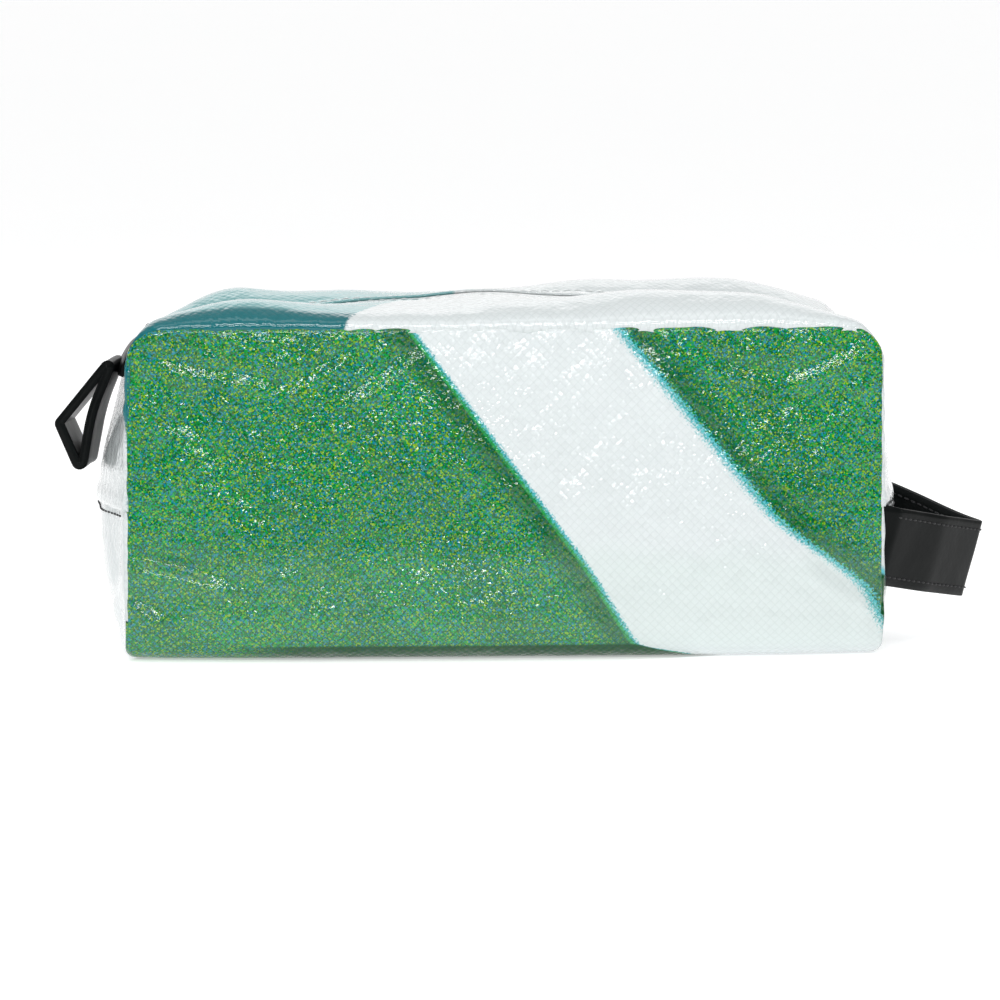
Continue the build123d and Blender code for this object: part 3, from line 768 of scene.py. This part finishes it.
def wrap_sheet(depth=0.0, step=1.1, seed=21):
    """The sheet that makes the front, the bottom and the back, as points and places on the flat sheet."""
    half = HALF_WIDTH - 0.8 * depth
    radius = FOLD_RADIUS - 0.6 * depth
    x = np.linspace(-half, half, int(2 * half / step) + 1)
    swell = SAG * (1 - np.abs(x / half) ** 5)
    tops = top_of_panel(x * HALF_WIDTH / half) - 0.4 * depth
    rise = 1 - np.linspace(0, 1, int((SEAM_Z - FOLD_RADIUS) / step), endpoint=False) ** 1.35
    z_face = FOLD_RADIUS + rise[:, None] * (tops - FOLD_RADIUS)[None, :]
    run = np.clip((z_face - FOLD_RADIUS) / (SEAM_Z - FOLD_RADIUS), 0, 1)
    lean = swell[None, :] * (1 - run**1.6)
    x_face = np.broadcast_to(x, z_face.shape)
    edge = from_outline(x_face * HALF_WIDTH / half, z_face)
    tuck = np.clip(SEAM_ROUND - edge, 0, SEAM_ROUND)
    pulled_in = SEAM_ROUND - np.sqrt(SEAM_ROUND**2 - tuck**2)

    def face(side, relief):
        out = HALF_DEPTH - depth + lean + relief - pulled_in
        return np.stack([x_face, side * out, z_face], -1)

    def fold(side, relief):
        angle = np.linspace(0, math.pi / 2, ARC_ROWS + 1)[:, None]
        centre_y = (HALF_DEPTH - depth + swell - radius)[None, :]
        reach = radius + relief[-1][None, :] * np.cos(angle) ** 2
        y = side * (centre_y + reach * np.cos(angle))
        z = FOLD_RADIUS - (FOLD_RADIUS - depth) * np.sin(angle) + 0 * y
        return np.stack([np.broadcast_to(x, y.shape), y, z], -1)

    creases = front_creases(x_face, z_face) * smooth(0.0, 6.0, edge)
    front_relief_mm = front_relief(x_face, z_face, seed) + creases
    back_relief_mm = front_relief(x_face, z_face, seed + 10)
    across = np.linspace(-1, 1, int(2 * (HALF_DEPTH - FOLD_RADIUS) / (2 * step)))[1:-1, None]
    bottom_y = across * (HALF_DEPTH - depth + swell - radius)[None, :]
    lifts = 0.35 * (1 + ripple(x[None, :], bottom_y, 60.0, seed + 20)) * np.sqrt(1 - across**2)
    bottom_z = depth + np.clip(lifts, 0, None)
    bottom = np.stack([np.broadcast_to(x, bottom_y.shape), bottom_y, bottom_z], -1)
    front = [face(-1, front_relief_mm), fold(-1, front_relief_mm)]
    back = [fold(1, back_relief_mm)[::-1], face(1, back_relief_mm)[::-1]]
    points = slump(np.concatenate([*front, bottom, *back], 0))
    low = np.clip(CORNER_ROUND - points[..., 2], 0, CORNER_ROUND)
    pulled = CORNER_ROUND - np.sqrt(CORNER_ROUND**2 - low**2)
    points[..., 0] -= np.sign(points[..., 0]) * pulled * smooth(half - 14, half, np.abs(points[..., 0]))

    fold_length = FOLD_RADIUS * math.pi / 2
    t_fold = FOLD_RADIUS - np.linspace(0, fold_length, ARC_ROWS + 1)[:, None] + 0 * x
    t_middle = FOLD_RADIUS - fold_length - HALF_DEPTH + FOLD_RADIUS
    rows = [z_face, t_fold, t_middle - bottom_y, 2 * t_middle - t_fold[::-1], 2 * t_middle - z_face[::-1]]
    t = np.concatenate(rows, 0)
    return points, np.stack([np.broadcast_to(x, t.shape), t, 0 * t], -1)


def wraps():
    """The vinyl wrap and the lining panel inside it."""
    points, sheet = wrap_sheet()
    made = mesh_object("vinyl_wrap", points, grid_faces(*points.shape[:2]), PRINTED, sheet)
    finish_piece(thicken(made, VINYL), "bag", "printed_vinyl", "body_panel")
    points, sheet = wrap_sheet(LINING_DEPTH, 2.2)
    made = mesh_object("lining_wrap", points, grid_faces(*points.shape[:2]), LINING, sheet)
    finish_piece(thicken(made, LINING_THICK), "bag", "lining_fabric", "lining_panel")


# ---------------------------------------------------------------- the zip gusset and its lining
def gusset_strip(side, depth, inner_y, step):
    """Half of the gusset, from a panel's seam to the zip, from side seam to side seam."""
    s = np.linspace(-2.5, RING_LENGTH + 2.5, int(RING_LENGTH / step))
    y = side * np.linspace(HALF_DEPTH - 0.9 * depth, 0, int(HALF_DEPTH / step) + 1)
    points = gusset_surface(np.clip(s, 0, RING_LENGTH), y, depth)
    past = np.clip(-s, 0, None) + np.clip(s - RING_LENGTH, 0, None)
    points[..., 2] -= past[:, None]
    over = smooth(4.0, 0.0, np.minimum(s, RING_LENGTH - s))[:, None]
    points[..., 0] += np.sign(points[:, :1, 0]) * 0.55 * over * (depth == 0)
    top = smooth(SLOT_END_Z - 1.0, SLOT_END_Z + 1.5, points[:, -1, 2])[:, None]
    points[..., 1] += side * top * inner_y * (1 - np.abs(y) / HALF_DEPTH)[None, :]
    q = HALF_DEPTH + points[..., 1]
    return points, np.stack([np.broadcast_to(s[:, None], q.shape), q, 0 * q], -1)


def gussets():
    """Vinyl strips each side of the zip, with the lining behind them."""
    for side, word in ((-1, "front"), (1, "back")):
        layers = (
            ("gusset", 0, VINYL, GUSSET, "gusset_vinyl", SLOT_HALF, 1.2),
            ("gusset_lining", LINING_DEPTH, LINING_THICK, LINING, "lining_fabric", LINING_AT_ZIP, 2.4),
        )
        for name, depth, thickness, material, slot, inner_y, step in layers:
            points, sheet = gusset_strip(side, depth, inner_y, step)
            made = mesh_object(f"{word}_{name}", points, grid_faces(*points.shape[:2]), material, sheet)
            thicken(made, thickness)
            open_with_lip(made)
            kind, end = ("lining", "lining") if depth else ("vinyl", "gusset")
            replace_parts(made, f"{word}_lip_{kind}", f"left_{end}_end", f"right_{end}_end")


# ---------------------------------------------------------------- end panels
def end_surface(end, depth, step):
    """The panel below the side seam. end is -1 at the left and 1 at the right."""
    z = np.linspace(depth, SIDE_SEAM_Z + 3.5, int(SIDE_SEAM_Z / step))
    v = np.linspace(-1, 1, int(2 * HALF_DEPTH / step))
    low = np.clip(FOLD_RADIUS - z, 0, None)
    inset = FOLD_RADIUS - np.sqrt(FOLD_RADIUS**2 - low**2)
    reach = HALF_DEPTH - 0.8 * depth - inset
    y = v[None, :] * reach[:, None]
    rise = np.clip(z / SIDE_SEAM_Z, 0, 1)
    bulge = (BULGE_X - HALF_WIDTH) * np.sin(math.pi / 2 * rise) ** 0.9
    x = HALF_WIDTH - depth + bulge[:, None] * (1 - v**2)[None, :]
    zz = np.broadcast_to(z[:, None], y.shape)
    edge = np.minimum(reach[:, None] - np.abs(y), zz)
    seed = 51 + 5 * (end + 1) + int(depth)
    relief = 0.6 * ripple(y, zz, 34.0, seed) * smooth(0, 12, edge)
    relief += 0.25 * np.exp(-((edge / 6.0) ** 2)) * ripple(y + zz, zz * 0.4, 9.0, seed + 1)
    relief += crease(y, zz, (-44, 34), (-18, 12), 4.0, 0.9) + crease(y, zz, (40, 30), (14, 8), 4.5, 0.8)
    tuck = np.clip(SEAM_ROUND - (reach[:, None] - np.abs(y)), 0, SEAM_ROUND)
    relief -= SEAM_ROUND - np.sqrt(SEAM_ROUND**2 - tuck**2)
    relief -= 0.7 * smooth(SIDE_SEAM_Z - 6, SIDE_SEAM_Z + 1, zz)
    low = np.clip(CORNER_ROUND - zz, 0, CORNER_ROUND)
    relief -= CORNER_ROUND - np.sqrt(CORNER_ROUND**2 - low**2)
    return np.stack([end * (x + relief), y, zz], -1), np.stack([y, zz, np.full(y.shape, max(end, 0))], -1)


def end_panels():
    """The vinyl and the lining below the side seams."""
    for end, word in ((-1, "left"), (1, "right")):
        layers = (
            ("end_vinyl", 0, VINYL, ENDS, "gusset_vinyl", "end_panel", 1.2),
            ("end_lining", LINING_DEPTH, LINING_THICK, LINING, "lining_fabric", "lining_end", 2.6),
        )
        for name, depth, thickness, material, slot, node, step in layers:
            points, sheet = end_surface(end, depth, step)
            made = mesh_object(f"{word}_{name}", points, grid_faces(*points.shape[:2]), material, sheet)
            finish_piece(thicken(made, thickness), "bag", slot, f"{word}_{node}")


# ---------------------------------------------------------------- thread
def stitches(name, path, normal, pitch, length, width, material):
    """A row of stitches lying on a surface: path and normal are dense lists of points and unit vectors."""
    path, normal = np.asarray(path, float), np.asarray(normal, float)
    along = np.concatenate([[0], np.cumsum(np.linalg.norm(np.diff(path, axis=0), axis=1))])
    centres = np.arange(pitch / 2, along[-1], pitch)
    rings = np.linspace(-1, 1, 7)
    turns = np.linspace(0, 2 * math.pi, 7)[:-1]
    points, faces = [], []
    for centre in centres:
        stations = centre + rings * length / 2
        line = np.stack([np.interp(stations, along, path[:, k]) for k in range(3)], -1)
        up = np.array([np.interp(centre, along, normal[:, k]) for k in range(3)])
        up /= np.linalg.norm(up)
        ahead = line[-1] - line[0]
        ahead /= np.linalg.norm(ahead)
        sideways = np.cross(ahead, up)
        first = len(points) * len(turns)
        for k, t in enumerate(rings):
            swell = math.sqrt(max(1 - t**2, 0.02)) * width / 2
            sink = 0.35 * width * (t**2) * 1.4
            loop = line[k] + up * (width * 0.25 - sink)
            points.append([loop + swell * (sideways * math.cos(a) + up * 0.8 * math.sin(a)) for a in turns])
        faces += tube_faces(first, len(rings), len(turns))
    return mesh_object(name, np.array(points).reshape(-1, 3), faces, material)


def side_seam_thread():
    """Black thread along the side seams, a little below the fold."""
    for end, word in ((-1, "left"), (1, "right")):
        points, _ = end_surface(end, 0, 1.2)
        row = int(np.argmin(np.abs(points[:, 0, 2] - (SIDE_SEAM_Z - 5.0))))
        path = points[row, 4:-4]
        normal = np.tile([end, 0, 0.0], (len(path), 1))
        made = stitches(f"{word}_side_seam_thread", path, normal, 3.4, 2.7, 0.7, THREAD)
        finish_piece(made, "bag", "strap_vinyl")


def zip_thread():
    """Two rows of stitches that hold the gusset's folded edges down on the zip's tapes."""
    s = np.linspace(RING_SIDE + 14, RING_LENGTH - RING_SIDE - 14, 400)
    for side, word in ((-1, "front"), (1, "back")):
        y = np.array([side * (SLOT_HALF + 2.6)])
        path = gusset_surface(s, y)[:, 0]
        up = outward(path[:, ::2])
        normal = np.stack([up[:, 0], 0 * up[:, 0], up[:, 1]], -1)
        made = stitches(f"{word}_zip_thread", path, normal, 3.6, 2.9, 0.6, WHITE_THREAD)
        open_with_lip(made)


# ---------------------------------------------------------------- the zip
def zip_tapes():
    """Woven tapes under the gusset's edges."""
    s = np.linspace(RING_SIDE + 1.5, RING_LENGTH - RING_SIDE - 1.5, 190)
    _, middle = ring(s)
    up = outward(middle)
    for side, word in ((-1, "front"), (1, "back")):
        y = side * np.linspace(TAPE_OUTER, TAPE_INNER, 9)
        wave = 0.12 * ripple(s[:, None], y[None, :], 14.0, 81)
        place = middle[:, None, :] + up[:, None, :] * (wave - TAPE_DEPTH)[..., None]
        points = np.stack([place[..., 0], np.broadcast_to(y, wave.shape), place[..., 1]], -1)
        sheet = np.stack([np.broadcast_to(s[:, None], wave.shape), points[..., 1], 0 * wave], -1)
        made = mesh_object(f"{word}_zip_tape", points, grid_faces(*wave.shape), TAPE, sheet)
        thicken(made, TAPE_THICK)
        open_with_lip(made)
        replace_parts(made, f"{word}_tape", "left_tape_end", "right_tape_end")


def tooth_shape():
    """One moulded tooth, as rings from the tape to the tip: (y, half length, half height)."""
    profile = ((4.1, 0.45, 0.95), (3.9, 0.62, 1.15), (1.3, 0.60, 1.15), (0.3, 0.52, 1.05))
    profile += ((-0.3, 0.66, 1.05), (-0.75, 0.60, 0.95), (-0.92, 0.38, 0.7))
    return profile


def zip_teeth():
    """Two rows of teeth, half a pitch apart, on the tapes' edges."""
    half_section = [(-1, -0.7), (-0.7, -1), (0.7, -1), (1, -0.7)]
    corner = half_section + [(-a, -b) for a, b in half_section]
    for side, word, shift in ((-1, "front", 0.0), (1, "back", TOOTH_PITCH / 2)):
        first_place = math.ceil((-LAST_TOOTH - shift) / TOOTH_PITCH)
        last_place = math.floor((LAST_TOOTH - shift) / TOOTH_PITCH)
        places = np.arange(first_place, last_place + 1) * TOOTH_PITCH + shift
        points, faces = [], []
        for x in places:
            slope = math.asin(-x / CHAIN_RADIUS)
            along = np.array([math.cos(slope), 0, math.sin(slope)])
            up = np.array([-math.sin(slope), 0, math.cos(slope)])
            centre = np.array([x, 0, ARCH_Z + math.sqrt(CHAIN_RADIUS**2 - x**2)])
            first = len(points)
            for y, half_length, half_height in tooth_shape():
                for a, b in corner:
                    points.append(centre + along * a * half_length + up * b * half_height + [0, side * y, 0])
            faces += tube_faces(first, len(tooth_shape()), len(corner), flip=side > 0)
        made = mesh_object(f"{word}_zip_teeth", points, faces, TEETH)
        open_with_lip(made)
        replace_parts(made, f"{word}_teeth", "left_end_teeth", "right_end_teeth")


def dress(node, material):
    """Gives a CAD node that stays in view its material."""
    materials = bpy.data.objects[node].data.materials
    materials.clear()
    materials.append(material)


# ---------------------------------------------------------------- straps
def ribbon(name, centre, normal, width_dir, half_width, low, high, material, wave=0.0, seed=0, closed=False):
    """A strip of vinyl along a path, between two offsets from it, with softened edges."""
    soft = 0.22
    across = np.linspace(-1, 1, 13) * (half_width - soft)
    ring_w = np.concatenate([across, [half_width], across[::-1], [-half_width]])
    middle = [(low + high) / 2]
    ring_o = np.concatenate([np.full(13, high), middle, np.full(13, low), middle])
    length = np.concatenate([[0], np.cumsum(np.linalg.norm(np.diff(centre, axis=0), axis=1))])
    offset = ring_o[None, :] + wave * ripple(length[:, None], ring_w[None, :], 24.0, seed)
    points = centre[:, None, :] + width_dir * ring_w[None, :, None] + normal[:, None, :] * offset[..., None]
    faces = tube_faces(0, *offset.shape, closed)
    along, out = np.broadcast_to(length[:, None], offset.shape), np.broadcast_to(ring_w, offset.shape)
    sheet = np.stack([along, out, offset], -1)
    return mesh_object(name, points, faces, material, sheet)


def rounded_path(corners, radii, step=0.8, closed=False):
    """A polyline with its corners rounded, as evenly spaced points."""
    corners = [np.array(c, float) for c in corners]
    count = len(corners)
    found = [] if closed else [corners[0]]
    for k in range(count) if closed else range(1, count - 1):
        before, here, after = corners[k - 1], corners[k], corners[(k + 1) % count]
        one = (before - here) / np.linalg.norm(before - here)
        two = (after - here) / np.linalg.norm(after - here)
        half = math.acos(np.clip(one @ two, -1, 1)) / 2
        reach = radii[k] / math.tan(half)
        centre = here + (one + two) / np.linalg.norm(one + two) * radii[k] / math.sin(half)
        start, end = here + one * reach - centre, here + two * reach - centre
        turn = math.atan2(start[0] * end[1] - start[1] * end[0], start @ end)
        base = math.atan2(start[1], start[0])
        for t in np.linspace(0, 1, 14):
            found.append(centre + radii[k] * np.array([math.cos(base + turn * t), math.sin(base + turn * t)]))
    found.append(found[0] if closed else corners[-1])
    found = np.array(found)
    along = np.concatenate([[0], np.cumsum(np.linalg.norm(np.diff(found, axis=0), axis=1))])
    stations = np.linspace(0, along[-1], int(along[-1] / step) + 1)
    if closed:
        stations = stations[:-1]
    return np.stack([np.interp(stations, along, found[:, k]) for k in range(2)], -1)


def plane_normals(path, closed=False):
    """Unit normals of a path in a plane, to the right of its direction."""
    tangent = np.roll(path, -1, 0) - np.roll(path, 1, 0) if closed else np.gradient(path, axis=0)
    normal = np.stack([tangent[:, 1], -tangent[:, 0]], -1)
    return normal / np.linalg.norm(normal, axis=1, keepdims=True)


def carry_loop():
    """The two-ply strap sewn into both end seams, folded at its tip."""
    pivot = joint_mm("handle_swing")
    droop = math.radians(HANDLE_DROOP)
    out = np.array([math.cos(droop), 0, -math.sin(droop)])
    up = np.array([math.sin(droop), 0, math.cos(droop)])
    back = np.array([0, 1.0, 0])
    root_y = HALF_DEPTH - 2.15
    front = [(-4, -root_y), (1.5, -root_y + 0.6), (20, -26)]
    corners = front + [(36.6, 0)] + [(x, -y) for x, y in reversed(front)]
    path = rounded_path(corners, (0, 5, 60, 4.2, 60, 5, 0))
    normal = plane_normals(path)
    centre = pivot + path[:, :1] * out + path[:, 1:] * back
    centre[:, 2] += 3.0 * smooth(4.0, 46.0, path[:, 1])
    normals = normal[:, :1] * out + normal[:, 1:] * back

    def bend(piece):
        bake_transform(piece)
        return piece

    half = STRAP_WIDTH / 2
    outer = ribbon("carry_loop_outer", centre, normals, up, half, 0.03, 1.0, STRAP, 0.22, 91)
    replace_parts(bend(outer), "handle_outer", "front_handle_anchor", "back_handle_anchor")
    inner = ribbon("carry_loop_inner", centre, normals, up, half - 0.25, -1.0, -0.03, STRAP, 0.22, 91)
    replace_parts(bend(inner), "handle_inner", "front_handle_anchor", "back_handle_anchor")
    for edge, word in ((-1, "lower"), (1, "upper")):
        for face, offset in (("outer", 1.05), ("inner", -1.05)):
            line = centre[7:-7] + up * edge * (half - 3.0) + normals[7:-7] * offset
            rise = normals[7:-7] * np.sign(offset)
            bend(stitches(f"carry_loop_thread_{word}_{face}", line, rise, 3.1, 2.5, 0.62, THREAD))


def end_tab():
    """The strap loop at the zip's left end."""
    root = joint_mm("end_tab_swing")
    corners = ((2.4, 8.0), (-20.4, -19.6), (-11.8, -39.0), (-7.6, -16.0))
    path = rounded_path(corners, (1.7, 2.0, 2.0, 60.0), 0.7, closed=True)
    normal = plane_normals(path, closed=True)
    centre = np.stack([root[0] + path[:, 0], 0 * path[:, 0], root[2] + path[:, 1]], -1)
    inward = np.stack([normal[:, 0], 0 * normal[:, 0], normal[:, 1]], -1)
    middle = centre.mean(0)
    if ((centre - middle) * inward).sum() > 0:
        inward = -inward
    width = np.array([0.15, 0.989, 0])
    half = STRAP_WIDTH / 2
    made = ribbon("end_tab_strap", centre, inward, width, half, -0.4, 2.5, STRAP, 0.12, 95, closed=True)
    finish_piece(made, "end_tab", "strap_vinyl", "end_tab")


def zip_end_cover():
    """A strap end folded over the bag's left corner, where the zip stops."""
    s = np.linspace(RING_SIDE - 1.0, RING_SIDE + RING_CORNER - 6.0, 34)
    y = np.linspace(-STRAP_WIDTH / 2, STRAP_WIDTH / 2, 30)
    _, middle = ring(s)
    up = outward(middle)
    lift = 2.4 + 0.25 * ripple(s[:, None], y[None, :], 12.0, 97)
    lift = lift - 0.9 * (np.abs(y) / (STRAP_WIDTH / 2))[None, :] ** 4
    place = middle[:, None, :] + up[:, None, :] * lift[..., None]
    points = np.stack([place[..., 0], np.broadcast_to(y, lift.shape), place[..., 1]], -1)
    sheet = np.stack([np.broadcast_to(s[:, None], lift.shape), points[..., 1], 0 * lift], -1)
    made = mesh_object("zip_end_cover_strap", points, grid_faces(*lift.shape), STRAP, sheet)
    finish_piece(thicken(made, 1.1), "bag", "strap_vinyl", "zip_end_cover")


wraps()
gussets()
end_panels()
side_seam_thread()
zip_thread()
zip_tapes()
zip_teeth()
carry_loop()
end_tab()
zip_end_cover()
for node in ("slider_body", "slider_bridge", "lock_pin", "puller", "left_stop", "right_stop"):
    dress(node, METAL)
